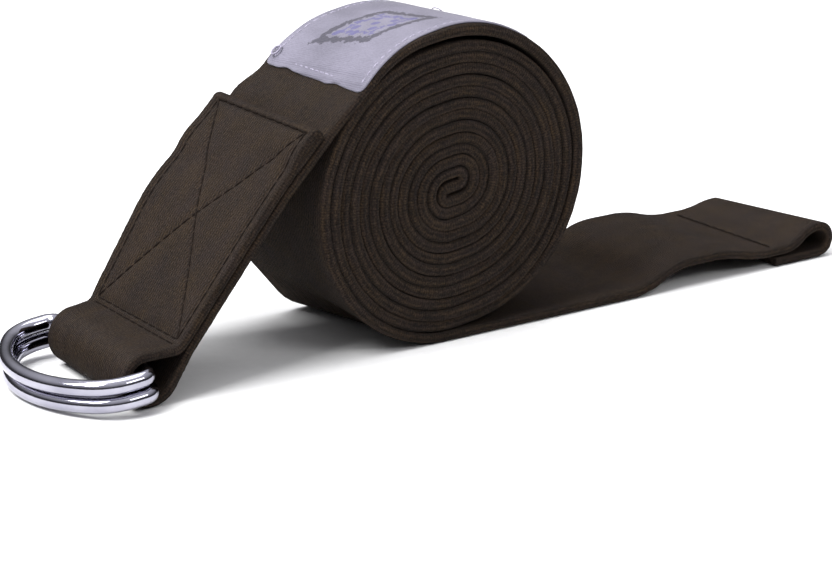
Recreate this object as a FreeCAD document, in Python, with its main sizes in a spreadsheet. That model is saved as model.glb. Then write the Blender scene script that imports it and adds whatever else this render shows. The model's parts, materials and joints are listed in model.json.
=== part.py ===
import FreeCAD, Part
import math
import os

import Sketcher
from FreeCAD import Rotation, Vector

# A cotton stretching strap, 38 mm wide, rolled up from its middle and standing on edge of the roll.
# +X runs along the floor to the free end, +Y across the webbing, +Z up.
# The origin is on the floor, straight below the centre of the roll.

DIMENSIONS = [
    # webbing
    ("web_width", 38.0),        # 1.5 inch webbing
    ("web_thick", 1.9),
    # roll: two arms wound round the middle of the strap
    ("half_turns", 12),         # half turns in each arm
    ("core_step", 3.0),         # middle layer to the layer next to it
    ("layer_pitch", 2.45),      # layer to layer further out
    ("flat_run", 3.0),          # straight piece in every half turn, which leaves two flattened slots
    ("roll_tilt", 8.0),         # slope of the middle layer, degrees
    ("slack", 1.3),             # extra gap under the loose outer turn
    ("crest_radius", 28.5),     # outer turn where it bends over towards the rings
    ("crest_angle", 37.0),
    ("leave_angle", 140.0),     # how far the last half turn goes before the strap drops to the floor
    ("heel_radius", 16.0),      # bend on to the floor
    # leg: from the roll down to the rings
    ("sewn_pitch", 2.1),        # layer to layer where layers are sewn together
    ("loop_radius", 4.9),       # centre line of the loop round the ring bars
    ("foot_radius", 6.0),
    ("loop_x", -76.3),
    ("meeting_radius", 3.4),    # bend of the sewn-back layer where it comes off the loop
    ("fold_reach", 13.8),       # straight of the leg above the turned end
    ("fold_seat", 6.7),         # straight of the leg under the start of the turned end
    ("climb_run", 5.0),         # run in which the top layer climbs over the turned end
    ("lip", 1.8),               # from the last bend to the folded edge
    # tail: free end on the floor
    ("tail_hinge", 24.0),       # where the tail starts to lift from the floor
    ("arch_height", 4.4),
    ("dip_height", 2.3),        # where the hem's row of stitches pulls it down
    ("hem_radius", 3.05),
    ("hem_length", 12.5),
    # rings
    ("wire", 3.5),
    ("ring_inside", 39.4),      # clear width between the sides
    ("ring_corner", 3.0),       # centre line radius between bar and side
    ("ring_side", 1.7),         # straight side between corner and shoulder
    ("ring_shoulder", 10.5),    # centre line radius between side and bow
    ("shoulder_angle", 50.0),
    ("ring_gap", 0.25),         # between the bars, and under the lower bar
    ("bar_inset", 1.2),         # from the middle of the loop back to the upper bar
    ("ring_stagger", 0.8),      # the lower bar lies this much further back
    ("ring_yaw", 4.0),          # the rings lie a little askew in the loop
    ("bow_height", 1.77),       # centre of the lower bow above the floor
    # label
    ("label_thick", 0.4),
    ("label_gap", 0.1),
    ("label_width", 34.5),
    ("label_shift", 0.75),      # the label sits off centre, away from the open face of the roll
    ("label_over", 38.0),       # how far the label runs over the far side of the crest, degrees
    # stitching
    ("thread", 0.7),            # width of a row of stitches
    ("thread_proud", 0.3),
    ("thread_sunk", 0.1),
    ("box_width", 33.0),
    ("knot_radius", 0.95),
    ("knot_wire", 0.5),
]

doc = FreeCAD.newDocument("stretching_strap")
sheet = doc.addObject("Spreadsheet::Sheet", "dims")
for row, (name, value) in enumerate(DIMENSIONS, start=1):
    sheet.set(f"A{row}", name)
    sheet.set(f"B{row}", str(value))
    sheet.setAlias(f"B{row}", name)
doc.recompute()


def size(name):
    return float(getattr(sheet, name))


thick = size("web_thick")
half_thick = thick / 2
sewn = size("sewn_pitch")
wire = size("wire")


# ---------------------------------------------------------------------------
# side view of the webbing: a centre line of straights and tangent arcs
# ---------------------------------------------------------------------------

def direction(degrees):
    return Vector(math.cos(math.radians(degrees)), math.sin(math.radians(degrees)), 0)


class Trace:
    """Centre line in the XZ plane, held as (start, heading, radius or None, length or angle)."""

    def __init__(self, start, heading):
        self.end = start
        self.heading = heading
        self.pieces = []

    def straight(self, length):
        self.pieces.append((self.end, self.heading, None, length))
        self.end = self.end + direction(self.heading) * length
        return self

    def turn(self, radius, degrees):
        """Positive angles turn left, seen with X to the right and Z up."""
        self.pieces.append((self.end, self.heading, radius, degrees))
        side = 90 if degrees > 0 else -90
        centre = self.end + direction(self.heading + side) * radius
        self.heading += degrees
        self.end = centre - direction(self.heading + side) * radius
        return self

    def run(self, moves):
        for radius, amount in moves:
            if radius is None:
                self.straight(amount)
            else:
                self.turn(radius, amount)
        return self

    def climb(self, length, height):
        """An S of two equal arcs that ends parallel to its start, height to the left."""
        angle = 2 * math.degrees(math.atan2(abs(height), length))
        radius = length / (2 * math.sin(math.radians(angle)))
        sign = 1 if height > 0 else -1
        return self.turn(radius, sign * angle).turn(radius, -sign * angle)

    def edge(self, offset):
        """Curves at a distance to the left of the centre line, with their first and last points."""
        curves = []
        for start, heading, radius, amount in self.pieces:
            if radius is None:
                first = start + direction(heading + 90) * offset
                last = first + direction(heading) * amount
                curves.append(Part.LineSegment(first, last))
                continue
            side = 90 if amount > 0 else -90
            centre = start + direction(heading + side) * radius
            reach = radius - offset if amount > 0 else radius + offset
            first = centre - direction(heading + side) * reach
            last = centre - direction(heading + amount + side) * reach
            begin = math.radians(heading - side)
            finish = math.radians(heading - side + amount)
            low, high = min(begin, finish), max(begin, finish)
            circle = Part.Circle(centre, Vector(0, 0, 1), reach)
            curves.append(Part.ArcOfCircle(circle, low, high))
        start, heading = self.pieces[0][:2]
        opening = start + direction(heading + 90) * offset
        closing = self.end + direction(self.heading + 90) * offset
        return curves, opening, closing


def cap(centre, heading, reach):
    """A half round on the side that heading points to."""
    circle = Part.Circle(centre, Vector(0, 0, 1), reach)
    return Part.ArcOfCircle(circle, math.radians(heading - 90), math.radians(heading + 90))


def strip(trace, low, high, round_start=False):
    """Closed outline between two offsets of a centre line."""
    right, right_start, right_end = trace.edge(low)
    left, left_start, left_end = trace.edge(high)
    outline = right + left
    outline.append(Part.LineSegment(right_end, left_end))
    if round_start:
        start, heading = trace.pieces[0][:2]
        outline.append(cap(start, heading + 180, (high - low) / 2))
    else:
        outline.append(Part.LineSegment(left_start, right_start))
    return outline


def reverse_moves(moves):
    return [(radius, amount if radius is None else -amount) for radius, amount in reversed(moves)]


def beside(moves, distance):
    """The same moves for a line that runs a distance to the right."""
    shifted = []
    for radius, amount in moves:
        if radius is None:
            shifted.append((None, amount))
        else:
            shifted.append((radius + distance if amount > 0 else radius - distance, amount))
    return shifted


# ---------------------------------------------------------------------------
# document helpers
# ---------------------------------------------------------------------------

def new_body(label):
    body = doc.addObject("PartDesign::Body", label)
    body.Label = label
    return body


def new_sketch(body, plane, name, curves):
    sketch = body.newObject("Sketcher::SketchObject", name)
    support = [item for item in body.Origin.OriginFeatures if item.Role == plane][0]
    sketch.AttachmentSupport = [(support, "")]
    sketch.MapMode = "FlatFace"
    sketch.addGeometry(curves, False)
    return sketch


def padded_body(label, curves, width_alias):
    """A side view in the XZ plane, made into a strip that is as wide as the named dimension."""
    body = new_body(label)
    sketch = new_sketch(body, "XZ_Plane", label + "_side", curves)
    pad = body.newObject("PartDesign::Pad", label + "_pad")
    pad.Profile = sketch
    pad.SideType = "Symmetric"
    pad.setExpression("Length", f"dims.{width_alias}")
    sketch.Visibility = False
    return body


# ---------------------------------------------------------------------------
# the roll
# ---------------------------------------------------------------------------

core = size("core_step")
pitch = size("layer_pitch")
flat_run = size("flat_run")
tilt = size("roll_tilt")
turns = int(size("half_turns"))
hinge_room = half_thick + 0.1      # a neighbouring length of webbing turns in this room


def half_turn(index):
    return core + (index + 0.5) * pitch


inner_moves = [(None, flat_run / 2), (core / 2, 180), (None, flat_run)]
for index in range(turns - 1):
    inner_moves += [(half_turn(index), 180), (None, flat_run)]

ring_arm = inner_moves + [
    (half_turn(turns - 1) + size("slack") / 2, 180),
    (None, flat_run),
    (size("crest_radius"), size("crest_angle")),
]

last_turn = half_turn(turns - 1)
drop_angle = 360 - (180 + tilt + size("leave_angle"))
heel = size("heel_radius")
drop = (last_turn - heel) * math.tan(math.radians(drop_angle / 2))
tail_arm = inner_moves + [(last_turn, size("leave_angle")), (None, drop), (heel, drop_angle)]

tail_probe = Trace(Vector(), tilt + 180).run(tail_arm)
roll_centre = Vector(0, half_thick - tail_probe.end.y, 0)
ring_probe = Trace(roll_centre, tilt).run(ring_arm)
leg_hinge = ring_probe.end
leg_heading = ring_probe.heading
tail_hinge = Vector(size("tail_hinge"), half_thick, 0)

# the arm towards the rings stops short of its hinge, to leave room for the leg's round end
crest = size("crest_radius")
trimmed_crest = size("crest_angle") - math.degrees(hinge_room / crest)
ring_arm_trimmed = ring_arm[:-1] + [(crest, trimmed_crest)]
ring_start = Trace(roll_centre, tilt).run(ring_arm_trimmed)
roll_trace = Trace(ring_start.end, ring_start.heading + 180)
roll_trace.run(reverse_moves(ring_arm_trimmed)).run(tail_arm)
padded_body("webbing_roll", strip(roll_trace, -half_thick, half_thick), "web_width")

# the flat run on the floor, from under the roll to the tail
base_trace = Trace(roll_trace.end, 0).straight(tail_hinge.x - hinge_room - roll_trace.end.x)
padded_body("webbing_base", strip(base_trace, -half_thick, half_thick), "web_width")

# ---------------------------------------------------------------------------
# the leg, the loop round the ring bars and the sewn-back end
# ---------------------------------------------------------------------------

leg_top = [(30, 6), (None, size("fold_reach"))]     # off the crest
fold_bend = [(45, -8)]                              # over the turned end's tip
fold_seat = size("fold_seat")
knee = (60, 10)                                     # below the turned end
loop = size("loop_radius")
foot = size("foot_radius")
meeting_radius = size("meeting_radius")

leg = Trace(leg_hinge, leg_heading % 360)
leg.run(leg_top + fold_bend + [(None, fold_seat), knee])
join_heading = leg.heading
foot_angle = join_heading - 180
bend_rise = 1 - math.cos(math.radians(foot_angle))
layer_step = direction(join_heading - 90) * sewn

# the straight shin ends where the sewn-back layer, coming off the loop, lies flat against it
meeting_height = half_thick + 2 * loop + meeting_radius * bend_rise
shin_drop = leg.end.y - (meeting_height - layer_step.y)
leg_shin = [knee, (None, shin_drop / math.sin(math.radians(foot_angle)))]
leg.run(leg_shin[1:])
meeting = leg.end + layer_step

# foot, floor and loop
ankle_drop = leg.end.y - half_thick - foot * bend_rise
leg.straight(ankle_drop / math.sin(math.radians(foot_angle))).turn(foot, -foot_angle)
loop_centre = Vector(size("loop_x"), half_thick + loop, 0)
leg.straight(leg.end.x - loop_centre.x).turn(loop, -180)
meeting_run = meeting_radius * math.sin(math.radians(foot_angle))
leg.straight(meeting.x - meeting_run - leg.end.x).turn(meeting_radius, foot_angle)

# the top layer climbs over the turned end, then turns under itself
climb_run = size("climb_run")
lip = size("lip")
return_moves = reverse_moves(beside(leg_shin, sewn))
over_fold = [(None, fold_seat - climb_run)] + reverse_moves(beside(fold_bend, 2 * sewn))
leg.run(return_moves).climb(climb_run, sewn).run(over_fold).straight(lip)
leg.turn(sewn / 2, -180).straight(lip).run(beside(fold_bend, sewn)).straight(0.4)
padded_body(
    "webbing_ring_end",
    strip(leg, -half_thick, half_thick, round_start=True),
    "web_width",
)

# ---------------------------------------------------------------------------
# the tail with its loose hem
# ---------------------------------------------------------------------------

hem = size("hem_radius")
arch = size("arch_height")
dip = size("dip_height")
tail = Trace(tail_hinge, 0)
tail.straight(24).climb(17, arch).straight(5.5).climb(16.5, dip - arch).straight(1.5)
hem_row = tail.end
tail.straight(2.5).climb(10, 2 * hem - dip).turn(hem, -180).straight(size("hem_length"))
padded_body("webbing_tail", strip(tail, -half_thick, half_thick, round_start=True), "web_width")

# ---------------------------------------------------------------------------
# the label over the crest of the roll
# ---------------------------------------------------------------------------

outer_turn = half_turn(turns - 1) + size("slack") / 2
over = size("label_over")
label_probe = Trace(roll_centre, tilt)
label_probe.run(ring_arm[:-3] + [(outer_turn, 180 - over)])
label_moves = [(outer_turn, over), (None, flat_run), (crest, size("crest_angle") - 1)]
label_probe.run(label_moves)
label_start = label_probe.end
label_heading = label_probe.heading + 180
label_moves = reverse_moves(label_moves)
label_under = half_thick + size("label_gap")
label_top = label_under + size("label_thick")
label_trace = Trace(label_start, label_heading).run(label_moves)
label = padded_body("label", strip(label_trace, label_under, label_top), "label_width")
aside = Vector(0, size("label_shift"), 0)
label.Placement.Base = aside

# ---------------------------------------------------------------------------
# stitching: thin bands on the surface, sunk a little into what they sew
# ---------------------------------------------------------------------------

thread = size("thread")
proud = size("thread_proud")
sunk = size("thread_sunk")


def level_trace(start, heading, moves):
    """The same line turned so that its ends are level, with the placement that turns it back."""
    probe = Trace(start, heading).run(moves)
    chord = probe.end - start
    slope = math.degrees(math.atan2(chord.y, chord.x))
    trace = Trace(Vector(), heading - slope).run(moves)
    placement = FreeCAD.Placement(
        Vector(start.x, 0, start.y), Rotation(Vector(0, 1, 0), -slope)
    )
    return trace, placement


def polygon(points):
    corners = [Vector(x, y, 0) for x, y in points]
    return [Part.LineSegment(a, b) for a, b in zip(corners, corners[1:] + corners[:1])]


def cut_windows(body, windows):
    """Cuts the polygons right through, square to the body's XY plane."""
    curves = [curve for window in windows for curve in polygon(window)]
    sketch = new_sketch(body, "XY_Plane", body.Label + "_windows", curves)
    pocket = body.newObject("PartDesign::Pocket", body.Label + "_pocket")
    pocket.Profile = sketch
    pocket.SideType = "Symmetric"
    pocket.setExpression("Length", "dims.web_width * 2")
    sketch.Visibility = False


def crossed_box(length, across):
    """The four triangles left open between a rectangle of stitching and its two diagonals."""
    near, far, side = thread, length - thread, across / 2 - thread
    middle = length / 2
    slope = math.atan2(2 * side, far - near)
    along = thread / 2 / math.sin(slope)
    upward = thread / 2 / math.cos(slope)
    ends = [
        [(near, side - upward), (near, upward - side), (middle - along, 0)],
        [(far, side - upward), (far, upward - side), (middle + along, 0)],
    ]
    sides = [
        [(near + along, sign * side), (far - along, sign * side), (middle, sign * upward)]
        for sign in (1, -1)
    ]
    return ends + sides


# crossed box that holds the loop round the rings shut
box_heading = join_heading - 180
box_climb = Trace(Vector(), 0).climb(climb_run, sewn).pieces
box_moves = return_moves + [(piece[2], piece[3]) for piece in box_climb] + over_fold
box_trace, box_placement = level_trace(meeting, box_heading, box_moves)
box = padded_body(
    "box_x_thread", strip(box_trace, half_thick - sunk, half_thick + proud), "box_width"
)
cut_windows(box, crossed_box(box_trace.end.x, size("box_width")))
box.Placement = box_placement

# second row next to the rings
row_turn = math.degrees(thread / meeting_radius)
row_start = Trace(meeting, box_heading + 180).turn(meeting_radius, -2 * row_turn)
row_trace = Trace(row_start.end, row_start.heading - 180).turn(meeting_radius, row_turn)
padded_body(
    "ring_side_thread", strip(row_trace, half_thick - sunk, half_thick + proud), "box_width"
)

# row across the hem
hem_trace = Trace(hem_row, 0).straight(thread)
padded_body(
    "hem_thread", strip(hem_trace, half_thick - sunk, half_thick + proud), "box_width"
)

# seam round the label
seam_trace, seam_placement = level_trace(label_start, label_heading, label_moves)
seam = padded_body(
    "label_thread", strip(seam_trace, label_top - sunk, label_top + proud / 2), "label_width"
)
inset = size("label_width") / 2 - thread
seam_end = seam_trace.end.x - thread
cut_windows(seam, [[(thread, -inset), (seam_end, -inset), (seam_end, inset), (thread, inset)]])
seam.Placement = seam_placement
seam.Placement.Base = seam.Placement.Base + aside

# ---------------------------------------------------------------------------
# D-rings: straight bar along Y through the origin, bow towards -X
# ---------------------------------------------------------------------------

def ring_path():
    side = (size("ring_inside") + wire) / 2
    corner = size("ring_corner")
    shoulder = size("ring_shoulder")
    shoulder_angle = size("shoulder_angle")
    bow_angle = 90 - shoulder_angle
    bow = side - shoulder * (1 - math.cos(math.radians(shoulder_angle)))
    bow /= math.sin(math.radians(bow_angle))
    path = Trace(Vector(), 90)
    path.straight(side - corner).turn(corner, 90).straight(size("ring_side"))
    path.turn(shoulder, shoulder_angle).turn(bow, 2 * bow_angle)
    path.turn(shoulder, shoulder_angle).straight(size("ring_side"))
    path.turn(corner, 90).straight(side - corner)
    return path.edge(0)[0]


def d_ring(label, bar, bow_drop):
    body = new_body(label)
    path = new_sketch(body, "XY_Plane", label + "_path", ring_path())
    circle = Part.Circle(Vector(), Vector(0, 0, 1), wire / 2)
    section = new_sketch(body, "XZ_Plane", label + "_wire", [circle])
    radius = section.addConstraint(Sketcher.Constraint("Radius", 0, wire / 2))
    section.setExpression(f"Constraints[{radius}]", "dims.wire / 2")
    doc.recompute()
    pipe = body.newObject("PartDesign::AdditivePipe", label + "_pipe")
    pipe.Profile = section
    edges = [f"Edge{number + 1}" for number in range(len(path.Shape.Edges))]
    pipe.Spine = (path, edges)
    tilt_down = math.degrees(math.asin(bow_drop / path.Shape.BoundBox.XMin))
    askew = Rotation(Vector(0, 0, 1), -size("ring_yaw"))
    body.Placement = FreeCAD.Placement(
        Vector(bar.x, 0, bar.y), askew * Rotation(Vector(0, 1, 0), tilt_down)
    )
    path.Visibility = section.Visibility = False
    return body


bar_step = wire + size("ring_gap")
upper_x = size("loop_x") + size("bar_inset")
lower_bar = Vector(upper_x + size("ring_stagger"), thick + bar_step - wire / 2, 0)
upper_bar = Vector(upper_x, lower_bar.y + bar_step, 0)
bow_drop = lower_bar.y - size("bow_height")
d_ring("d_ring_lower", lower_bar, bow_drop)
d_ring("d_ring_upper", upper_bar, bow_drop)

# tail of thread left as a small loop at the label's far corner
knot = doc.addObject("Part::Torus", "label_loop_thread")
knot.setExpression("Radius1", "dims.knot_radius")
knot.setExpression("Radius2", "dims.knot_wire / 2")
crest_normal = direction(label_heading + 90)
knot_point = label_start + direction(label_heading) * 1.2
knot_point = knot_point + crest_normal * (label_top + size("knot_wire") * 0.3)
knot.Placement = FreeCAD.Placement(
    Vector(knot_point.x, size("label_width") / 2 - 0.6, knot_point.y),
    Rotation(Vector(0, 0, 1), Vector(crest_normal.x, 0, crest_normal.y)),
)

# ---------------------------------------------------------------------------
# checks and export
# ---------------------------------------------------------------------------

doc.recompute()
for item in doc.Objects:
    if "Invalid" in item.State or "Error" in item.State:
        raise RuntimeError(f"{item.Label}: {item.State}")

os.makedirs("parts", exist_ok=True)
for item in doc.Objects:
    if item.TypeId not in ("PartDesign::Body", "Part::Torus"):
        continue
    shape = item.Shape
    if shape.isNull() or not shape.isValid() or len(shape.Solids) != 1:
        raise RuntimeError(f"{item.Label} has no single valid solid")
    shape.exportStep(f"parts/{item.Label}.step")
    box = shape.BoundBox
    print(
        f"{item.Label:18s} volume {shape.Volume:10.2f}  x {box.XMin:8.2f} {box.XMax:8.2f}"
        f"  y {box.YMin:7.2f} {box.YMax:7.2f}  z {box.ZMin:7.2f} {box.ZMax:7.2f}"
    )


def trace_length(trace):
    return sum(
        amount if radius is None else radius * math.radians(abs(amount))
        for start, heading, radius, amount in trace.pieces
    )


lengths = [trace_length(trace) for trace in (roll_trace, base_trace, leg, tail)]
print("webbing lengths (roll, base, ring end, tail):", [round(length, 1) for length in lengths])
print("leg hinge", leg_hinge, "tail hinge", tail_hinge, "bars", lower_bar, upper_bar)
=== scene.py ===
import json
import math
import random

import bpy
import numpy as np
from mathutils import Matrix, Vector


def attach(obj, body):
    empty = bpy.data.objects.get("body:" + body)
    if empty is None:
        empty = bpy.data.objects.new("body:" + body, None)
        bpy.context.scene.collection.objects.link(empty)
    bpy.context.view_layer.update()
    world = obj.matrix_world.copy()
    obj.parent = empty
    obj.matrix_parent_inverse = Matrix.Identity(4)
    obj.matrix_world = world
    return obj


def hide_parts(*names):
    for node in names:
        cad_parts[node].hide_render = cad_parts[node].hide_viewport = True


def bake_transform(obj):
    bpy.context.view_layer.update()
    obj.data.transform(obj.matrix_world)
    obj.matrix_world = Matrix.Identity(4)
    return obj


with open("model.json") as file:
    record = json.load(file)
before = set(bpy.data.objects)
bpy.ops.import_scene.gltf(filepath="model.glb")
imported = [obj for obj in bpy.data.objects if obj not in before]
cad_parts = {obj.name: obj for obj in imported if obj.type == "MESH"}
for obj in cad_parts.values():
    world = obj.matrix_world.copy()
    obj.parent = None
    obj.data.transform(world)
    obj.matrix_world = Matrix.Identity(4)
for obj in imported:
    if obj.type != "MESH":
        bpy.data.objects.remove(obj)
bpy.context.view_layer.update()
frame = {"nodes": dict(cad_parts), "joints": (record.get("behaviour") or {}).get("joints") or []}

# Sizes are in millimetres, and MM makes them metres when a mesh is made. Lights and floor are in
# metres from the start.
MM = 0.001
rng = random.Random(7)

# ---------------------------------------------------------------------------
# sizes, the same as the CAD part's where it has them
# ---------------------------------------------------------------------------

# webbing
WIDTH = 38.0
THICK = 1.9
HALF = THICK / 2
EDGE_ROUND = 0.55           # how far the rounding of its edges reaches in
# roll
HALF_TURNS = 12             # in each of its two arms
CORE_STEP = 3.0             # middle layer to the layer next to it
PITCH = 2.45                # layer to layer further out
FLAT_RUN = 3.0              # straight piece in every half turn
TILT = 8.0                  # slope of the middle layer, degrees
CREST_ANGLE = 37.0
FULLNESS = 1.27             # cloth in the roll is a little thicker than its CAD solid
# leg, from the roll down to the rings
SEWN = 2.1                  # layer to layer where layers are sewn together
LOOP_RADIUS = 4.9           # round the ring bars
FOOT_RADIUS = 6.0
ANKLE_RADIUS = 12.0
SHOULDER_RADIUS = 30.0      # the leg's first bend, on the way off the crest
MEETING_RADIUS = 3.4        # where the sewn-back layer comes off the loop
FOLD_SEAT = 9.5             # straight of the leg under the start of the turned end
FOLD_RADIUS = 45.0          # bend of the leg where the turned end lies on it
CLIMB_RUN = 8.0             # run in which the top layer climbs over the turned end
FLAP_STEP = 1.4             # the stitching squeezes the turned end
LIP = 0.2                   # from the last bend to the folded edge
TURNED_TIP = 7.0            # reaches under the start of the climb
# tail, in the order of its runs from the hinge on
TAIL_FLAT = 24.0
ARCH_CLIMB, ARCH_TOP, ARCH_FALL = 17.0, 5.5, 16.5
ROW_BEFORE, ROW_AFTER = 1.5, 2.5        # level runs on either side of the hem's row
HEM_CLIMB = 10.0
HEM_LENGTH = 12.5           # of the layer that is folded back under the end
# stitching
BOX_WIDTH = 33.0
RING_ROW_GAP = 1.8          # from the box to the row next to the rings
STITCH, STITCH_GAP = 2.6, 0.3
STITCH_RADIUS = 0.2
STITCH_RISE = 0.2           # how far the middle of a stitch stands above its ends
STITCH_SUNK = 0.14          # how far its ends lie in the cloth
STITCH_DRIFT = 0.09         # how far it may lie off its row

# The webbing's two edges don't follow quite the same line, so each line that differs is given
# twice: for the near edge (-Y, the open face of the roll) and for the far edge (+Y).
NEAR_ROLL = {"scale": 1.0, "slack": 0.9, "crest": 25.0, "leave": 158.0, "heel": 26.0}
FAR_ROLL = {"scale": 0.968, "slack": 0.0, "crest": 27.6, "leave": 122.0, "heel": 12.0}
NEAR_LEG = {
    "crest": 1.4, "reach": 14.1, "fold": 1.5, "knee_radius": 49.0, "knee": 5.0, "ankle": 7.1,
    "loop_x": -76.3,
}
FAR_LEG = {
    "crest": 3.4, "reach": 12.9, "fold": 9.6, "knee_radius": 36.0, "knee": 18.3, "ankle": 7.0,
    "loop_x": -72.6,
}
NEAR_TAIL = {"arch": 4.4, "dip": 2.3, "hem": 3.05}
FAR_TAIL = {"arch": 4.1, "dip": 1.5, "hem": 1.35}
SETTLE = 12.0               # a strip whose start is moved is back on its own line after this far

joint_at = {joint["name"]: Vector(joint["pos_m"]) / MM for joint in frame["joints"]}
LEG_HINGE = joint_at["ring_end_lift"]
TAIL_HINGE = joint_at["tail_lift"]


# ---------------------------------------------------------------------------
# lines in the XZ plane
# ---------------------------------------------------------------------------

class Trace:
    """Straights and tangent arcs, each held as (start s, x, z, heading, radius or None, amount)."""

    def __init__(self, x, z, heading):
        self.x, self.z, self.heading, self.length = x, z, heading, 0.0
        self.pieces = []
        self.anchors = [0.0]

    def straight(self, length):
        self.pieces.append((self.length, self.x, self.z, self.heading, None, length))
        self.x += length * math.cos(math.radians(self.heading))
        self.z += length * math.sin(math.radians(self.heading))
        self.length += length
        return self

    def turn(self, radius, degrees):
        """Positive angles turn left, seen with X to the right and Z up."""
        self.pieces.append((self.length, self.x, self.z, self.heading, radius, degrees))
        side = 90 if degrees > 0 else -90
        out = math.radians(self.heading + side)
        back = math.radians(self.heading + side + degrees)
        self.x += radius * (math.cos(out) - math.cos(back))
        self.z += radius * (math.sin(out) - math.sin(back))
        self.heading += degrees
        self.length += radius * math.radians(abs(degrees))
        return self

    def run(self, moves):
        for radius, amount in moves:
            if radius is None:
                self.straight(amount)
            else:
                self.turn(radius, amount)
        return self

    def climb(self, length, height):
        """An S of two equal arcs that ends parallel to its start, height to the left."""
        angle = 2 * math.degrees(math.atan2(abs(height), length))
        radius = length / (2 * math.sin(math.radians(angle)))
        sign = 1 if height > 0 else -1
        return self.turn(radius, sign * angle).turn(radius, -sign * angle)

    def anchor(self):
        """Marks the end so far as a place that the strip's two lines reach together."""
        self.anchors.append(self.length)
        return self

    def piece_length(self, number):
        radius, amount = self.pieces[number][4:]
        return amount if radius is None else radius * math.radians(abs(amount))

    def at(self, s):
        """(x, z, heading in radians) at s. Past either end the line runs on straight."""
        number = 0
        while number < len(self.pieces) - 1 and self.pieces[number + 1][0] <= s:
            number += 1
        begin, x, z, heading, radius, amount = self.pieces[number]
        angle = math.radians(heading)
        inside = min(self.piece_length(number), max(0.0, s - begin))
        over = s - begin - inside
        if radius is None:
            return x + (s - begin) * math.cos(angle), z + (s - begin) * math.sin(angle), angle
        sign = 1 if amount > 0 else -1
        turned = angle + sign * inside / radius
        side = sign * math.pi / 2
        x += radius * (math.cos(angle + side) - math.cos(turned + side)) + over * math.cos(turned)
        z += radius * (math.sin(angle + side) - math.sin(turned + side)) + over * math.sin(turned)
        return x, z, turned

    def stations(self, step, turn_step):
        """Distances along the line, closer together in tight bends."""
        marks = [0.0]
        for number, (begin, _, _, _, radius, amount) in enumerate(self.pieces):
            length = self.piece_length(number)
            bend = 0 if radius is None else abs(amount)
            count = max(1, math.ceil(length / step), math.ceil(bend / turn_step))
            marks += [begin + length * (i + 1) / count for i in range(count)]
        return marks


def smooth_step(value):
    value = min(1.0, max(0.0, value))
    return value * value * (3 - 2 * value)


class Cloth:
    """A strip between a near and a far line. s is measured on the near line.

    slides holds (dx, dz) for each line: how far its start is moved, to meet the strip before
    it. The line comes back to its own place within SETTLE."""

    def __init__(self, near, far, slides=((0.0, 0.0), (0.0, 0.0))):
        self.near, self.far, self.slides = near, far, slides

    def ends(self, s):
        fade = 1 - smooth_step(s / SETTLE)
        far_s = s
        if 0 < s:
            far_s = float(np.interp(s, self.near.anchors, self.far.anchors))
            far_s += max(0.0, s - self.near.length)
        ends = []
        for line, at, (dx, dz) in zip((self.near, self.far), (s, far_s), self.slides):
            x, z, heading = line.at(at)
            ends.append((x + dx * fade, z + dz * fade, heading))
        return ends

    def point(self, s, y, lift):
        """A point in metres, at y across the strip and lift to the left of its middle surface."""
        return blend_ends(*self.ends(s), y, lift)


def blend_ends(near, far, y, lift):
    """The point at y and lift between an (x, z, heading) on the near line and one on the far."""
    share = (y + WIDTH / 2) / WIDTH
    x, z, heading = (a + (b - a) * share for a, b in zip(near, far))
    return Vector((x - lift * math.sin(heading), y, z + lift * math.cos(heading))) * MM


def reverse_moves(moves):
    return [(radius, amount if radius is None else -amount) for radius, amount in reversed(moves)]


def beside(moves, distance):
    """The same moves for a line that runs a distance to the right."""
    shifted = []
    for radius, amount in moves:
        if radius is not None:
            radius += distance if amount > 0 else -distance
        shifted.append((radius, amount))
    return shifted


# ---------------------------------------------------------------------------
# the three lengths of webbing
# ---------------------------------------------------------------------------

def roll_line(scale, slack, crest, leave, heel):
    """From the leg's hinge round the ring arm to the middle, then out along the tail arm."""
    def half_turn(index):
        return scale * (CORE_STEP + (index + 0.5) * PITCH)

    flat = scale * FLAT_RUN
    inner = [(None, flat / 2), (scale * CORE_STEP / 2, 180), (None, flat)]
    for index in range(HALF_TURNS - 1):
        inner += [(half_turn(index), 180), (None, flat)]
    last = half_turn(HALF_TURNS - 1)
    ring_arm = inner + [(last + slack / 2, 180), (None, flat), (crest, CREST_ANGLE)]
    drop_angle = 180 - TILT - leave
    drop = (last - heel) * math.tan(math.radians(drop_angle / 2))
    tail_arm = inner + [(last, leave), (None, drop), (heel, drop_angle)]
    centre_z = HALF - Trace(0, 0, TILT + 180).run(tail_arm).z
    ring_end = Trace(0, centre_z, TILT).run(ring_arm)
    line = Trace(ring_end.x, ring_end.z, ring_end.heading + 180)
    for move in reverse_moves(ring_arm) + tail_arm:
        line.run([move]).anchor()
    return line.straight(TAIL_HINGE.x - line.x).anchor()


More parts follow.
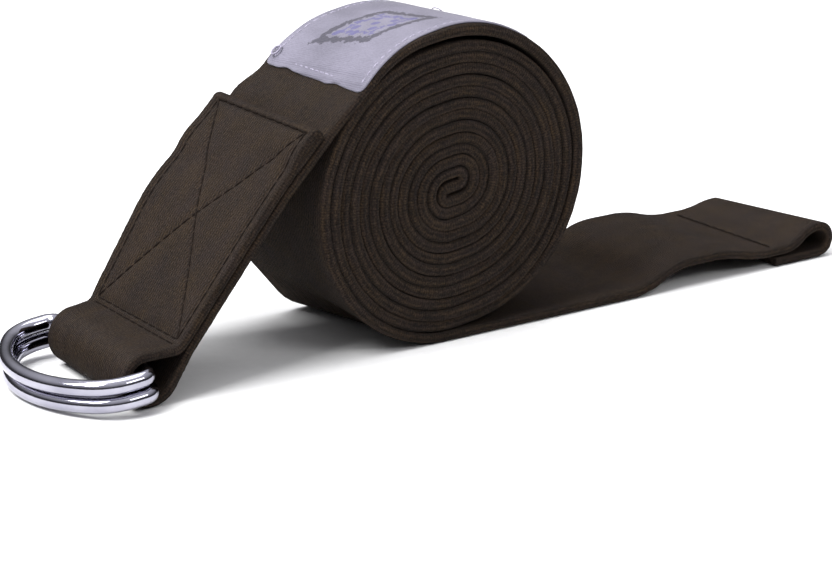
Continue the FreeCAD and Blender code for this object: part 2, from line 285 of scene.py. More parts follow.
def leg_line(crest, reach, fold, knee_radius, knee, ankle, loop_x):
    """From the crest down to the floor, round the ring bars, and back up to the turned end.

    On the way down it bends off the crest, where the turned end will lie, at the knee, at the
    ankle and at the foot. The sewn-back layer runs up beside it, as far as the same fold."""
    fold_bend = [(FOLD_RADIUS, -fold)]
    bend = (knee_radius, knee)
    line = Trace(LEG_HINGE.x, LEG_HINGE.z, TILT + CREST_ANGLE + 180)
    line.run([(SHOULDER_RADIUS, crest), (None, reach)] + fold_bend + [(None, FOLD_SEAT), bend])
    foot_angle = line.heading - 180
    sine, rise = math.sin(math.radians(foot_angle)), 1 - math.cos(math.radians(foot_angle))
    step_x = SEWN * math.cos(math.radians(line.heading - 90))
    step_z = SEWN * math.sin(math.radians(line.heading - 90))
    meeting_height = HALF + 2 * LOOP_RADIUS + MEETING_RADIUS * rise
    shin = [bend, (None, (line.z - meeting_height + step_z) / sine)]
    line.run(shin[1:])
    meeting_x = line.x + step_x

    # the foot, and the loop round the bars
    line.turn(ANKLE_RADIUS, ankle)
    heading = line.heading - 180
    rise = 1 - math.cos(math.radians(heading))
    drop = line.z - HALF - FOOT_RADIUS * rise
    line.straight(drop / math.sin(math.radians(heading))).anchor().turn(FOOT_RADIUS, -heading)
    line.straight(line.x - loop_x).anchor().turn(LOOP_RADIUS, -180).anchor()
    line.straight(meeting_x - MEETING_RADIUS * sine - line.x).turn(MEETING_RADIUS, foot_angle)

    # the sewn-back layer, and the turned end under it
    line.box_start = line.anchor().length
    over_fold = reverse_moves(beside(fold_bend, SEWN + FLAP_STEP))
    line.run(reverse_moves(beside(shin, SEWN))).climb(CLIMB_RUN, FLAP_STEP)
    line.straight(FOLD_SEAT - CLIMB_RUN).run(over_fold)
    line.box_end = line.anchor().length
    line.straight(LIP).turn(FLAP_STEP / 2, -180).straight(LIP).anchor()
    return line.run(beside(fold_bend, SEWN)).straight(TURNED_TIP).anchor()


def tail_line(arch, dip, hem):
    """Along the floor, over the arch, down to the hem's row, and round the open hem."""
    line = Trace(TAIL_HINGE.x, TAIL_HINGE.z, 0)
    line.straight(TAIL_FLAT).climb(ARCH_CLIMB, arch).straight(ARCH_TOP)
    line.climb(ARCH_FALL, dip - arch).straight(ROW_BEFORE)
    line.hem_row = line.anchor().length
    line.straight(ROW_AFTER).climb(HEM_CLIMB, 2 * hem - dip).anchor()
    return line.turn(hem, -180).anchor().straight(HEM_LENGTH).anchor()


near_roll, far_roll = roll_line(**NEAR_ROLL), roll_line(**FAR_ROLL)
starts = [line.at(0)[:2] for line in (near_roll, far_roll)]
roll = Cloth(near_roll, far_roll)
leg = Cloth(
    leg_line(**NEAR_LEG),
    leg_line(**FAR_LEG),
    [(x - LEG_HINGE.x, z - LEG_HINGE.z) for x, z in starts],
)
tail = Cloth(tail_line(**NEAR_TAIL), tail_line(**FAR_TAIL))


# ---------------------------------------------------------------------------
# meshes
# ---------------------------------------------------------------------------

WAVE_RATES = (1, 1.7, 2.9, 4.3)


def wander(scale, seed):
    """A smooth random function of one number, about -1 to 1. A larger scale makes it slower."""
    source = random.Random(seed)
    waves = [(source.uniform(0.4, 1.0), source.uniform(0, 6.28), k) for k in WAVE_RATES]
    total = sum(1 / k for _, _, k in waves)

    def value(s):
        return sum(math.sin(s / scale * k * f * 2 + p) / k for f, p, k in waves) / total

    return value


def new_object(name, mesh, material, body=None, replaces=()):
    obj = bpy.data.objects.new(name, mesh)
    bpy.context.scene.collection.objects.link(obj)
    mesh.materials.append(material)
    if body:
        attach(obj, body)
    if replaces:
        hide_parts(*replaces)
    return obj


def make_mesh(name, points, faces, flat=None, sharp=()):
    """flat holds each point's own (s, y, lift) in mm, which the weave follows."""
    mesh = bpy.data.meshes.new(name)
    mesh.from_pydata(points, [], faces)
    mesh.polygons.foreach_set("use_smooth", [True] * len(mesh.polygons))
    if flat is not None:
        layer = mesh.attributes.new("flat", "FLOAT_VECTOR", "POINT")
        layer.data.foreach_set("vector", np.array(flat, np.float32).ravel())
    if sharp:
        keys = {tuple(sorted(pair)) for pair in sharp}
        marks = [tuple(sorted(edge.vertices)) in keys for edge in mesh.edges]
        mesh.attributes.new("sharp_edge", "BOOLEAN", "EDGE").data.foreach_set("value", marks)
    mesh.update()
    return mesh


EDGE_STEPS = 8


def webbing_section(columns):
    """(y, lift) round the webbing's cross-section: flat faces and rounded edges."""
    flat_half = WIDTH / 2 - EDGE_ROUND
    face = [flat_half * (2 * i / columns - 1) for i in range(columns + 1)]
    angles = [math.pi * k / EDGE_STEPS for k in range(1, EDGE_STEPS)]
    round_edge = [(math.sin(a), math.cos(a)) for a in angles]
    loop = [(y, HALF) for y in face]
    loop += [(flat_half + EDGE_ROUND * out, HALF * up) for out, up in round_edge]
    loop += [(y, -HALF) for y in reversed(face)]
    loop += [(-flat_half - EDGE_ROUND * out, -HALF * up) for out, up in round_edge]
    return loop


def sweep(name, cloth, marks, columns, shape):
    """The webbing along a cloth strip. shape(s, y, lift) gives the worked (y, lift)."""
    section = webbing_section(columns)
    points, flat, faces, count = [], [], [], len(section)
    for s in marks:
        ends = cloth.ends(s)
        for y, lift in section:
            points.append(blend_ends(*ends, *shape(s, y, lift)))
            flat.append((s, y, lift))
    for row in range(len(marks) - 1):
        base = row * count
        for i in range(count):
            j = (i + 1) % count
            faces.append((base + i, base + j, base + count + j, base + count + i))
    last = (len(marks) - 1) * count
    faces.append(tuple(reversed(range(count))))
    faces.append(tuple(range(last, last + count)))
    sharp = [(i, (i + 1) % count) for i in range(count)]
    sharp += [(last + i, last + (i + 1) % count) for i in range(count)]
    return make_mesh(name, points, faces, flat, sharp)


def tube(points, radii, up, flatten=1.0, sides=8):
    """Vertices and faces of a closed-ended tube through points, flattened along up."""
    vertices, faces = [], []
    for index, point in enumerate(points):
        ahead = points[min(index + 1, len(points) - 1)] - points[max(index - 1, 0)]
        ahead.normalize()
        across = ahead.cross(up).normalized()
        over = across.cross(ahead).normalized()
        for k in range(sides):
            a = 2 * math.pi * k / sides
            out = across * math.cos(a) + over * math.sin(a) * flatten
            vertices.append(point + out * radii[index])
    for row in range(len(points) - 1):
        for k in range(sides):
            j = (k + 1) % sides
            a, b = row * sides, (row + 1) * sides
            faces.append((a + k, b + k, b + j, a + j))
    last = (len(points) - 1) * sides
    faces.append(tuple(range(sides)))
    faces.append(tuple(reversed(range(last, last + sides))))
    return vertices, faces


def join(name, parts):
    vertices, faces = [], []
    for more, quads in parts:
        base = len(vertices)
        vertices += more
        faces += [tuple(base + v for v in face) for face in quads]
    return make_mesh(name, vertices, faces)


def stitches(strip, ends, lift, stitch=STITCH):
    """Short rounded threads along a straight row on a strip, from (s, y) to (s, y)."""
    (s0, y0), (s1, y1) = ends
    count = max(1, round(math.hypot(s1 - s0, y1 - y0) / (stitch + STITCH_GAP)))
    inset = 0.5 * STITCH_GAP / (stitch + STITCH_GAP)
    s, y = (s0 + s1) / 2, (y0 + y1) / 2
    up = (strip(s, y, lift + 1) - strip(s, y, lift)).normalized()
    steps, thinnest, flatten = 8, 0.45, 0.72
    parts = []
    for index in range(count):
        t0, t1 = (index + inset) / count, (index + 1 - inset) / count
        drift = rng.uniform(-STITCH_DRIFT, STITCH_DRIFT)
        line, radii = [], []
        for k in range(steps + 1):
            u = k / steps
            t = t0 + (t1 - t0) * u
            rise = lift + STITCH_RISE * math.sin(math.pi * u) ** 0.6 - STITCH_SUNK
            line.append(strip(s0 + (s1 - s0) * t, y0 + (y1 - y0) * t + drift * u, rise))
            swell = math.sin(math.pi * (0.08 + 0.84 * u))
            radii.append(STITCH_RADIUS * MM * (thinnest + (1 - thinnest) * swell))
        parts.append(tube(line, radii, up, flatten))
    return parts


# ---------------------------------------------------------------------------
# materials
# ---------------------------------------------------------------------------

# display colours of 0 to 255, each from dark to light
COTTON_OLIVE = ((18, 12, 8), (42, 32, 23), (71, 56, 41))
COTTON_MAUVE = ((17, 12, 10), (39, 30, 26), (64, 52, 45))
BROWN_THREAD = ((18, 13, 10), (33, 25, 20))
GREY_THREAD = ((118, 114, 130), (160, 156, 172))
SATIN = ((88, 86, 98), (122, 119, 134))
CHROME = ((152, 151, 164), (176, 175, 187))
MOTIF_GREY, MOTIF_BLUE = (52, 50, 60), (58, 56, 116)

# the weave, in millimetres
WARP_PITCH, WEFT_PITCH, BEAD_PITCH = 0.72, 1.1, 1.2
RIM = 1.4                   # how far the edge's own texture, and the painted shade on the edge, reach on to the faces
RIB_PITCH = 0.42            # of the label's satin
# the lozenge woven into the label, and the pitches of the small diamonds in it
MOTIF_S, MOTIF_Y = 15.0, -1.0
MOTIF_HALF_LENGTH, MOTIF_HALF_WIDTH = 13.2, 8.6
DIAMOND_LENGTH, DIAMOND_WIDTH = 4.0, 3.0


class Nodes:
    """Short names for building a shader node tree."""

    def __init__(self, name):
        self.material = bpy.data.materials.new(name)
        self.material.use_nodes = True
        self.tree = self.material.node_tree
        self.shader = self.tree.nodes["Principled BSDF"]

    def add(self, kind, **settings):
        node = self.tree.nodes.new(kind)
        for key, value in settings.items():
            setattr(node, key, value)
        return node

    def feed(self, socket, value):
        if isinstance(value, bpy.types.NodeSocket):
            self.tree.links.new(value, socket)
        else:
            socket.default_value = value

    def set(self, **inputs):
        for name, value in inputs.items():
            self.feed(self.shader.inputs[name.replace("_", " ")], value)

    def math(self, operation, a, b=0.0, c=0.0, clamp=False):
        node = self.add("ShaderNodeMath", operation=operation, use_clamp=clamp)
        for socket, value in zip(node.inputs, (a, b, c)):
            self.feed(socket, value)
        return node.outputs[0]

    def attribute(self, name):
        return self.add("ShaderNodeAttribute", attribute_name=name).outputs["Vector"]

    def place(self):
        return self.add("ShaderNodeTexCoord").outputs["Object"]

    def split(self, vector):
        node = self.add("ShaderNodeSeparateXYZ")
        self.feed(node.inputs[0], vector)
        return node.outputs

    def scaled(self, vector, scale):
        node = self.add("ShaderNodeVectorMath", operation="MULTIPLY")
        self.feed(node.inputs[0], vector)
        node.inputs[1].default_value = scale
        return node.outputs[0]

    def noise(self, vector, scale, detail=4.0, roughness=0.6):
        node = self.add("ShaderNodeTexNoise")
        self.feed(node.inputs["Vector"], self.scaled(vector, scale))
        node.inputs["Scale"].default_value = 1.0
        node.inputs["Detail"].default_value = detail
        node.inputs["Roughness"].default_value = roughness
        return node.outputs["Fac"]

    def ramp(self, value, stops):
        node = self.add("ShaderNodeValToRGB")
        self.feed(node.inputs[0], value)
        ramp = node.color_ramp
        while len(ramp.elements) < len(stops):
            ramp.elements.new(0.5)
        for element, (position, colour) in zip(ramp.elements, stops):
            element.position = position
            element.color = colour
        return node.outputs["Color"]

    def mix(self, factor, a, b, blend="MIX"):
        """Inputs 6 and 7 and output 2 of a mix node are its colours."""
        node = self.add("ShaderNodeMix", data_type="RGBA", blend_type=blend)
        for number, value in ((0, factor), (6, a), (7, b)):
            self.feed(node.inputs[number], value)
        return node.outputs[2]

    def bump(self, height, distance, strength=1.0):
        node = self.add("ShaderNodeBump")
        node.inputs["Strength"].default_value = strength
        node.inputs["Distance"].default_value = distance
        self.feed(node.inputs["Height"], height)
        return node.outputs["Normal"]


def rgb(r, g, b):
    """Linear colour from display values of 0 to 255."""
    return tuple(
        c / 12.92 if c <= 0.04045 else ((c + 0.055) / 1.055) ** 2.4
        for c in (r / 255, g / 255, b / 255)
    ) + (1.0,)


def webbing_material():
    """Brown cotton webbing: staggered warp floats on the faces, streaks, strands and small beads
    on its edges, patches that lean a little to olive or to mauve, and painted shade on its edges."""
    n = Nodes("webbing_cotton")
    flat = n.attribute("flat")
    s, y, lift = n.split(flat)
    waver = n.math("MULTIPLY", n.noise(flat, (0.3, 0.3, 0.3), 3.0), 2.6)
    across = n.math("COSINE", n.math("MULTIPLY_ADD", y, 2 * math.pi / WARP_PITCH, waver))
    along = n.math("COSINE", n.math("MULTIPLY_ADD", s, 2 * math.pi / WEFT_PITCH, waver))
    floats = n.math("MULTIPLY", across, n.math("MULTIPLY_ADD", along, 0.25, 0.25))
    floats = n.math("ADD", floats, 0.5)
    fibre = n.noise(flat, (2.2, 3.4, 3.4), 6.0, 0.85)
    streaks = n.noise(flat, (0.35, 2.2, 2.2), 5.0, 0.7)
    past_face = n.math("SUBTRACT", n.math("ABSOLUTE", y), WIDTH / 2 - RIM)
    edge_texture_and_shade = n.math("MULTIPLY", past_face, 1.4, clamp=True)
    beads = n.math("COSINE", n.math("MULTIPLY_ADD", s, 2 * math.pi / BEAD_PITCH, waver))
    beads = n.math("MULTIPLY_ADD", n.math("ABSOLUTE", beads), 0.4, streaks)
    strands = n.math("MULTIPLY_ADD", lift, 2 * math.pi / HALF, waver)
    beads = n.math("MULTIPLY_ADD", n.math("COSINE", strands), -0.22, beads)
    faces = n.math("MULTIPLY", floats, n.math("SUBTRACT", 1.0, edge_texture_and_shade))
    pattern = n.math("ADD", faces, n.math("MULTIPLY", beads, edge_texture_and_shade))
    height = n.math("MULTIPLY_ADD", fibre, 2.2, pattern)
    patches = n.noise(flat, (0.09, 0.14, 0.3), 3.0)
    hue = n.noise(flat, (0.16, 0.22, 0.5), 3.0)
    tone = n.math("MULTIPLY_ADD", pattern, 0.16, n.math("MULTIPLY", fibre, 0.9))
    tone = n.math("MULTIPLY_ADD", patches, 0.12, tone)
    # painted shade: the edges are painted a little darker, because they catch less light than the
    # faces
    tone = n.math("MULTIPLY_ADD", edge_texture_and_shade, -0.05, tone)
    olive, mauve = (
        n.ramp(tone, [(0.46, rgb(*dark)), (0.58, rgb(*middle)), (0.7, rgb(*light))])
        for dark, middle, light in (COTTON_OLIVE, COTTON_MAUVE)
    )
    blend = n.ramp(hue, [(0.35, (0, 0, 0, 1)), (0.65, (1, 1, 1, 1))])
    n.set(
        Base_Color=n.mix(blend, olive, mauve), Roughness=0.95, Specular_IOR_Level=0.05,
        Sheen_Weight=0.03, Sheen_Roughness=0.5, Normal=n.bump(height, 0.0004, 1.0),
    )
    return n.material


def thread_material(name, dark, light):
    n = Nodes(name)
    twist = n.noise(n.place(), (2500, 2500, 2500), 3.0)
    n.set(
        Base_Color=n.ramp(twist, [(0.35, rgb(*dark)), (0.65, rgb(*light))]),
        Roughness=0.8, Specular_IOR_Level=0.1, Normal=n.bump(twist, 0.0001, 0.5),
    )
    return n.material


def label_material():
    """Lilac-white satin, woven across, with a plain lozenge set aslant in grey and blue."""
    n = Nodes("label_satin")
    flat = n.attribute("flat")
    s, y, _ = n.split(flat)
    ribs = n.math("SINE", n.math("MULTIPLY", s, 2 * math.pi / RIB_PITCH))
    fibre = n.noise(flat, (5.0, 1.2, 3.0), 5.0, 0.65)
    patches = n.noise(flat, (0.09, 0.06, 0.2), 2.0)
    frayed = n.math("MULTIPLY_ADD", n.noise(flat, (1.1, 1.1, 1.0), 3.0), 0.5, -0.25)
    from_s = n.math("SUBTRACT", s, MOTIF_S)
    from_y = n.math("SUBTRACT", y, MOTIF_Y)
    u = n.math("MULTIPLY", n.math("SUBTRACT", from_s, from_y), math.sqrt(0.5))
    v = n.math("MULTIPLY", n.math("ADD", from_s, from_y), math.sqrt(0.5))
    reach = n.math("ADD", n.math("ABSOLUTE", n.math("DIVIDE", u, MOTIF_HALF_LENGTH)), frayed)
    reach = n.math("ADD", n.math("ABSOLUTE", n.math("DIVIDE", v, MOTIF_HALF_WIDTH)), reach)
    frame_line = n.math("COMPARE", reach, 0.92, 0.12)
    inner_line = n.math("COMPARE", reach, 0.56, 0.05)
    columns = n.math("COSINE", n.math("MULTIPLY", u, 2 * math.pi / DIAMOND_LENGTH))
    rows = n.math("COSINE", n.math("MULTIPLY", v, 2 * math.pi / DIAMOND_WIDTH))
    diamonds = n.math("GREATER_THAN", n.math("ADD", columns, n.math("ADD", rows, frayed)), 0.9)
    inside = n.math("LESS_THAN", reach, 0.74)
    blue = n.math("MULTIPLY", n.math("MAXIMUM", diamonds, inner_line), inside)
    tone = n.math("MULTIPLY_ADD", patches, 0.6, n.math("MULTIPLY", fibre, 0.4))
    satin = n.ramp(tone, [(0.3, rgb(*SATIN[0])), (0.7, rgb(*SATIN[1]))])
    colour = n.mix(n.math("MULTIPLY", blue, 0.55), satin, rgb(*MOTIF_BLUE))
    colour = n.mix(n.math("MULTIPLY", frame_line, 0.8), colour, rgb(*MOTIF_GREY))
    height = n.math("MULTIPLY_ADD", ribs, 0.3, n.math("ADD", fibre, frame_line))
    n.set(
        Base_Color=colour, Roughness=0.55, Specular_IOR_Level=0.35, Sheen_Weight=0.15,
        Sheen_Roughness=0.4, Normal=n.bump(height, 0.00012, 0.7),
    )
    return n.material


def chrome_material():
    n = Nodes("ring_chrome")
    marks = n.noise(n.place(), (900, 900, 900), 6.0, 0.7)
    wear = n.noise(n.place(), (120, 120, 120), 3.0)
    n.set(
        Metallic=1.0,
        Base_Color=n.ramp(wear, [(0.3, rgb(*CHROME[0])), (0.7, rgb(*CHROME[1]))]),
        Roughness=n.math("MULTIPLY_ADD", marks, 0.10, 0.05),
        Normal=n.bump(marks, 0.00003, 0.2),
    )
    return n.material


webbing_cotton = webbing_material()
sewing_thread = thread_material("sewing_thread", *BROWN_THREAD)
label_seam = thread_material("label_seam", *GREY_THREAD)
label_satin = label_material()
ring_chrome = chrome_material()


# ---------------------------------------------------------------------------
# the webbing
# ---------------------------------------------------------------------------

SWAY, LOOSEN, THICKEN = 0.45, 0.12, 0.05        # how much the three wanders below do
sway = wander(26, 3)
loosen = wander(31, 5)
thicken = wander(9, 11)
EASE_IN, EASE_OUT = 30.0, 60.0          # runs in which the roll's unevenness begins and ends
EDGE_FRAY, FRAY_REACH = 0.16, 1.5       # how much the edges waver, and how far in
fray = wander(1.1, 23)
CLEAR = 0.06                # gap between the roll and what lies on it
TOP_FACE = 0.3              # points of a section with more lift than this are on its upper face
GATHER = 0.14               # share of its half width that the far edge loses at the rings
GATHER_START, GATHER_RUN, GATHER_END_RUN = 60.0, 16.0, 18.0
ROLL_COLUMNS, LEG_COLUMNS, TAIL_COLUMNS = 12, 60, 30    # the leg's carry its stitch dents


def frayed_edge(s, y):
    """The webbing's two edges are a little uneven."""
    if abs(y) <= WIDTH / 2 - FRAY_REACH:
        return y
    return y + math.copysign(EDGE_FRAY * fray(s + 2 * y), y)


def fullness(s):
    """How far the unevenness has set in at s, and how much thicker the cloth is than its CAD
    solid there. There is none at either end of the roll."""
    ease = min(1.0, max(0.0, s) / EASE_IN, (near_roll.length - s) / EASE_OUT)
    return ease, 1 + (FULLNESS - 1 + THICKEN * thicken(s)) * ease


def roll_shape(s, y, lift):
    """Layers of the roll lie a little in and out of line, and differ a little in thickness."""
    ease, thicker = fullness(s)
    y = frayed_edge(s, y) + SWAY * ease * sway(s)
    return y, lift * thicker + LOOSEN * ease * loosen(s)


def on_roll(s, height=0.0):
    """The lift of something that lies on the roll's outer face."""
    ease, thicker = fullness(s)
    return HALF * thicker + LOOSEN * ease * loosen(s) + CLEAR + height


roll_mesh = sweep(
    "webbing_roll_cloth", roll, near_roll.stations(1.5, 4.0), ROLL_COLUMNS, roll_shape
)
roll_cloth = new_object(
    "webbing_roll_cloth", roll_mesh, webbing_cotton, "roll",
    ["webbing_roll", "webbing_base"],
)


def row_distance(s, y, ends):
    """How far (s, y) is from a straight row of stitches."""
    (s0, y0), (s1, y1) = ends
    ds, dy = s1 - s0, y1 - y0
    t = max(0.0, min(1.0, ((s - s0) * ds + (y - y0) * dy) / (ds * ds + dy * dy)))
    return math.hypot(s - s0 - t * ds, y - y0 - t * dy)


def dent(s, y, rows, depth=0.3, spread=0.75):
    """How far the cloth sinks along stitched rows, twice as deep along the first of them."""
    sunk = [depth * math.exp(-(row_distance(s, y, ends) / spread) ** 2) for ends in rows]
    return max([2 * sunk[0]] + sunk[1:])


box_start, box_end, box_half = leg.near.box_start, leg.near.box_end, BOX_WIDTH / 2
box_rows = [
    ((box_end, -box_half), (box_end, box_half)),
    ((box_start, -box_half), (box_start, box_half)),
    ((box_start, -box_half), (box_end, -box_half)),
    ((box_start, box_half), (box_end, box_half)),
    ((box_start, -box_half), (box_end, box_half)),
    ((box_start, box_half), (box_end, -box_half)),
]
ring_row_s = box_start - RING_ROW_GAP
ring_row = ((ring_row_s, -box_half), (ring_row_s, box_half))
hem_row = ((tail.near.hem_row, -box_half), (tail.near.hem_row, box_half))


def leg_shape(s, y, lift):
    """Stitched rows sink in, and the far edge gathers where it passes round the rings."""
    if lift > TOP_FACE and box_start - 6 < s < box_end + LIP:
        lift -= dent(s, y, box_rows + [ring_row])
    if y > 0:
        begin = smooth_step((s - GATHER_START) / GATHER_RUN)
        end = smooth_step((box_start + 3 - s) / GATHER_END_RUN)
        y *= 1 - GATHER * begin * end
    return frayed_edge(s, y), lift


def tail_shape(s, y, lift):
    """The hem's row sinks in."""
    if lift > TOP_FACE:
        lift -= dent(s, y, [hem_row])
    return frayed_edge(s, y), lift


leg_mesh = sweep(
    "webbing_ring_end_cloth", leg, leg.near.stations(0.8, 5.0), LEG_COLUMNS, leg_shape
)
leg_cloth = new_object(
    "webbing_ring_end_cloth", leg_mesh, webbing_cotton, None, ["webbing_ring_end"]
)
tail_mesh = sweep(
    "webbing_tail_cloth", tail, tail.near.stations(0.9, 5.0), TAIL_COLUMNS, tail_shape
)
tail_cloth = new_object(
    "webbing_tail_cloth", tail_mesh, webbing_cotton, None, ["webbing_tail"]
)

# stitching that holds the loop and the hem
ON_TOP = HALF - 0.16        # its stitches lie in the dents
for name, body, node, strip, rows in (
    ("box_x_stitches", "ring_end", "box_x_thread", leg, box_rows),
    ("ring_side_stitches", "ring_end", "ring_side_thread", leg, [ring_row]),
    ("hem_stitches", "tail", "hem_thread", tail, [hem_row]),
):
    parts = [part for ends in rows for part in stitches(strip.point, ends, ON_TOP)]
    new_object(name, join(name, parts), sewing_thread, body, [node])

# ---------------------------------------------------------------------------
# the label, sewn over the crest
# ---------------------------------------------------------------------------

LABEL_LOW, LABEL_HIGH = -2.0, 44.0      # its ends, measured from the leg's hinge towards the roll
LABEL_NEAR, LABEL_FAR = -18.8, 18.0
LABEL_THICK = 0.5
LABEL_SLANT = 2.6           # how much its low end runs aslant
LABEL_TURN, LABEL_TURN_RUN = 1.6, 36.0  # how far its near edge moves in, and over what run
LABEL_CORNER = 1.6
LABEL_ROWS, LABEL_COLUMNS = 96, 80
RIPPLE_END, RIPPLE_FACE = 0.45, 0.05    # how uneven its low end and its face are
ripple = wander(5, 17)
SEAM_INSET = 1.7            # from the label's border to its seam
SEAM_SINK = 0.22            # how deep the seam pulls in
SEAM_STITCH = 1.7


def over_crest(s, y, lift):
    """A point of the roll's outer turn, or of the leg where s is below zero."""
    return leg.point(-s, y, -lift) if s < 0 else roll.point(s, y, lift)


def on_crest(s, y, height):
    """A point at a height above the face of the roll or leg."""
    return over_crest(s, y, on_roll(s, height))


def label_edges(s):
    """The label's near and far edge at s. It is sewn on slightly turned, with rounded corners."""
    near = LABEL_NEAR + LABEL_TURN * smooth_step((s - LABEL_LOW) / LABEL_TURN_RUN)
    from_end = min(s - LABEL_LOW, LABEL_HIGH - s)
    short = max(0.0, LABEL_CORNER - from_end)
    rounding = LABEL_CORNER - math.sqrt(LABEL_CORNER ** 2 - short ** 2)
    return near + rounding, LABEL_FAR - rounding


def label_surface(a, b, top):
    """a runs along the label and b across it, both from 0 to 1. Also gives its (s, y, lift)."""
    s = LABEL_LOW + (LABEL_HIGH - LABEL_LOW) * a
    near, far = label_edges(s)
    y = near + (far - near) * b
    s += (1 - a) * (RIPPLE_END * ripple(y) + LABEL_SLANT * y / WIDTH)
    margin = min(s - LABEL_LOW, LABEL_HIGH - s, y - near, far - y)
    lift = on_roll(s)
    if top:
        plump = min(1.0, max(0.0, margin) / 0.5) ** 0.5
        seam = math.exp(-((margin - SEAM_INSET) / 0.5) ** 2)
        lift += LABEL_THICK * (0.35 + 0.65 * plump)
        lift += RIPPLE_FACE * ripple(s + y) - SEAM_SINK * seam
    return over_crest(s, y, lift), (s, y, lift)


def label_mesh():
    """An upper and a lower sheet of points, joined round their border."""
    rows, columns = LABEL_ROWS, LABEL_COLUMNS
    points, flat, faces = [], [], []
    for top in (True, False):
        for i in range(rows + 1):
            for j in range(columns + 1):
                point, place = label_surface(i / rows, j / columns, top)
                points.append(point)
                flat.append(place)
    line, sheet = columns + 1, (rows + 1) * (columns + 1)
    for i in range(rows):
        for j in range(columns):
            a = i * line + j
            faces.append((a, a + line, a + line + 1, a + 1))
            faces.append((sheet + a, sheet + a + 1, sheet + a + line + 1, sheet + a + line))
    border = list(range(columns))
    border += [i * line + columns for i in range(rows)]
    border += [rows * line + j for j in range(columns, 0, -1)]
    border += [i * line for i in range(rows, 0, -1)]
    for a, b in zip(border, border[1:] + border[:1]):
        faces.append((a, b, sheet + b, sheet + a))
    return make_mesh("label_cloth", points, faces, flat)


label = new_object("label_cloth", label_mesh(), label_satin, None, ["label"])
low, high = LABEL_LOW + SEAM_INSET, LABEL_HIGH - SEAM_INSET
mid = (low + high) / 2
near_low, near_mid, near_high = (label_edges(s)[0] + SEAM_INSET for s in (low + 1, mid, high - 1))
seam_far = LABEL_FAR - SEAM_INSET
seam_rows = [
    ((low - LABEL_SLANT / 2, near_low), (low + LABEL_SLANT / 2, seam_far)),
    ((high, near_high), (high, seam_far)),
    ((low - LABEL_SLANT / 2, near_low), (mid, near_mid)),
    ((mid, near_mid), (high, near_high)),
    ((low + LABEL_SLANT / 2, seam_far), (high, seam_far)),
]
seam_lift = LABEL_THICK - SEAM_SINK
seam_parts = [
    part for ends in seam_rows for part in stitches(on_crest, ends, seam_lift, SEAM_STITCH)
]
seam = new_object(
    "label_stitches", join("label_stitches", seam_parts), label_seam, None,
    ["label_thread"],
)

# the two thread ends on the label
THREAD_SIDE = Vector((0.31, 0.17, 0.93))    # along no part of either thread
LOOP_TURNS, LOOP_STEPS = 1.15, 40
on_label = LABEL_THICK + 0.3


def thread_end(name, centre, outline, radius, replaces=()):
    """A fine thread through points given as (s, y, lift) from the centre."""
    s0, y0, lift0 = centre
    points = [on_crest(s0 + s, y0 + y, lift0 + lift) for s, y, lift in outline]
    parts = [tube(points, [radius * MM] * len(points), THREAD_SIDE)]
    return new_object(name, join(name, parts), label_seam, "roll", replaces)


loop_outline = [
    (
        math.cos(a) * (1.0 + 0.02 * a),
        math.sin(a) * (1.0 - 0.01 * a),
        0.28 + 0.16 * math.sin(a * 0.5),
    )
    for a in (2 * math.pi * LOOP_TURNS * k / LOOP_STEPS for k in range(LOOP_STEPS + 1))
]
thread_end("label_thread_loop", (2.0, 16.0, on_label), loop_outline, 0.22, ["label_loop_thread"])
stray_outline = [
    (-0.1 * k + 0.05 * k * k / 4, -0.5 * k, 0.25 * math.sin(0.5 * k))
    for k in range(8)
]
thread_end("label_thread_end", (36.5, 9.0, on_label), stray_outline, 0.14)

# ---------------------------------------------------------------------------
# the pieces at the hinges, with their transforms baked into their meshes
# ---------------------------------------------------------------------------

LEG_BEND, TAIL_BEND = (1.2, 7.0), (0.2, 6.0)    # from and to, along each strip


def hinge_bend(obj, body, strip, start, reach):
    """Bakes the piece's transform into its mesh. The points at start and reach are worked out, but
    nothing bends there; body is not used.
    """
    strip.point(start, 0, 0)
    strip.point(reach, 0, 0)
    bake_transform(obj)


for obj in (leg_cloth, label, seam):
    hinge_bend(obj, "ring_end", leg, *LEG_BEND)
hinge_bend(tail_cloth, "tail", tail, *TAIL_BEND)

# ---------------------------------------------------------------------------
# rings: the CAD nodes themselves, polished
# ---------------------------------------------------------------------------

for name in ("d_ring_upper", "d_ring_lower"):
    node = frame["nodes"][name]
    node.data.materials.clear()
    node.data.materials.append(ring_chrome)

# ---------------------------------------------------------------------------
# camera, light and floor
# ---------------------------------------------------------------------------

AZIMUTH, ELEVATION, DISTANCE = math.radians(-35.2), math.radians(16.2), 950.0
CENTRE = Vector((0, 0, 35))             # the camera stands DISTANCE away from here
AIM_RIGHT, AIM_DOWN = 2.93, 28.16       # where the camera looks, away from CENTRE
FOCAL_LENGTH, SENSOR_WIDTH = 193.4, 36
scene = bpy.context.scene
back = Vector((
    math.sin(AZIMUTH) * math.cos(ELEVATION),
    -math.cos(AZIMUTH) * math.cos(ELEVATION),
    math.sin(ELEVATION),
))
right = Vector((math.cos(AZIMUTH), math.sin(AZIMUTH), 0))
camera_data = bpy.data.cameras.new("camera")
camera_data.lens = FOCAL_LENGTH
camera_data.sensor_width = SENSOR_WIDTH
camera_data.clip_start, camera_data.clip_end = 0.05, 20
camera = bpy.data.objects.new("camera", camera_data)
scene.collection.objects.link(camera)
camera.location = (CENTRE + back * DISTANCE) * MM
target = (CENTRE + right * AIM_RIGHT - back.cross(right) * AIM_DOWN) * MM
camera.rotation_mode = "QUATERNION"
camera.rotation_quaternion = (target - camera.location).to_track_quat("-Z", "Y")
scene.camera = camera

LIGHTS_AIM = Vector((0, 0, 0.03))


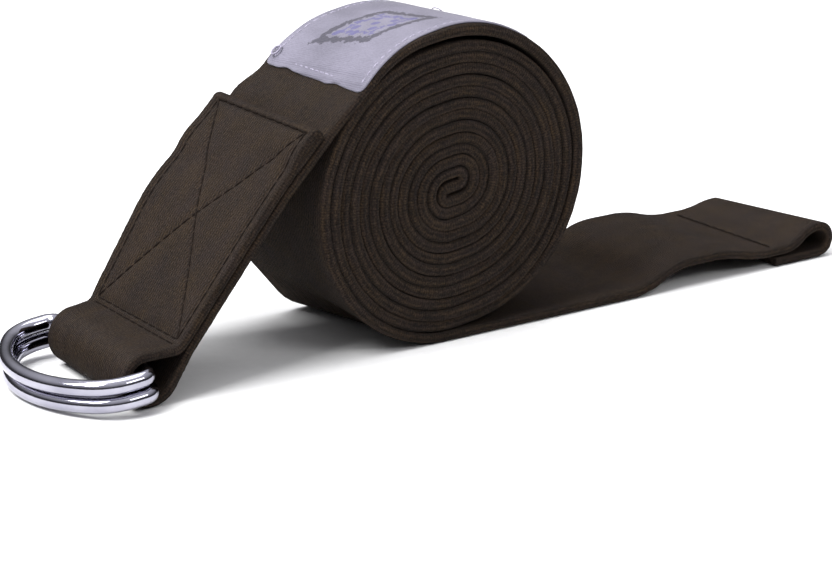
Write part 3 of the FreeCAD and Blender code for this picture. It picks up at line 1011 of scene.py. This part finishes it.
def area_light(name, location, size, power):
    """Places and sizes are in metres. The light points at the middle of the object."""
    data = bpy.data.lights.new(name, "AREA")
    data.shape = "RECTANGLE"
    data.size, data.size_y = size
    data.energy = power
    light = bpy.data.objects.new(name, data)
    scene.collection.objects.link(light)
    light.location = location
    light.rotation_mode = "QUATERNION"
    light.rotation_quaternion = (LIGHTS_AIM - light.location).to_track_quat("-Z", "Y")


area_light("key", (-0.72, 0.0, 0.98), (0.7, 0.5), 22)
area_light("front", (0.25, -1.1, 0.85), (0.6, 0.25), 4)
area_light("top", (0.1, 0.2, 1.2), (0.9, 0.9), 8)

FLOOR_HALF, FLOOR_Z = 6.0, -0.0003      # metres
floor_mesh = bpy.data.meshes.new("floor")
corners = [(x * FLOOR_HALF, y * FLOOR_HALF, FLOOR_Z) for x, y in ((-1, -1), (1, -1), (1, 1), (-1, 1))]
floor_mesh.from_pydata(corners, [], [(0, 1, 2, 3)])
paper = Nodes("floor_paper")
grain = paper.noise(paper.place(), (400, 400, 400), 3.0)
paper.set(
    Base_Color=paper.ramp(grain, [(0.3, (0.74, 0.74, 0.74, 1)), (0.7, (0.77, 0.77, 0.77, 1))]),
    Roughness=0.9,
    Specular_IOR_Level=0.1,
)
new_object("floor", floor_mesh, paper.material)

SKY = ((0.0, 0.05), (0.25, 0.08), (0.55, 0.6), (0.9, 1.0))  # (height, brightness)
SKY_BLUE = 1.04


def studio_world():
    """A pale ceiling over dark surroundings, which gives the rings their dark bands."""
    world = bpy.data.worlds.new("studio")
    world.use_nodes = True
    tree = world.node_tree
    place = tree.nodes.new("ShaderNodeTexCoord")
    split = tree.nodes.new("ShaderNodeSeparateXYZ")
    ramp = tree.nodes.new("ShaderNodeValToRGB")
    tree.links.new(place.outputs["Generated"], split.inputs[0])
    tree.links.new(split.outputs["Z"], ramp.inputs[0])
    tree.links.new(ramp.outputs["Color"], tree.nodes["Background"].inputs["Color"])
    while len(ramp.color_ramp.elements) < len(SKY):
        ramp.color_ramp.elements.new(0.5)
    for element, (height, grey) in zip(ramp.color_ramp.elements, SKY):
        element.position = height
        element.color = (grey, grey, grey * SKY_BLUE, 1)
    tree.nodes["Background"].inputs["Strength"].default_value = 1.0
    return world


scene.world = studio_world()
scene.view_settings.view_transform = "Standard"
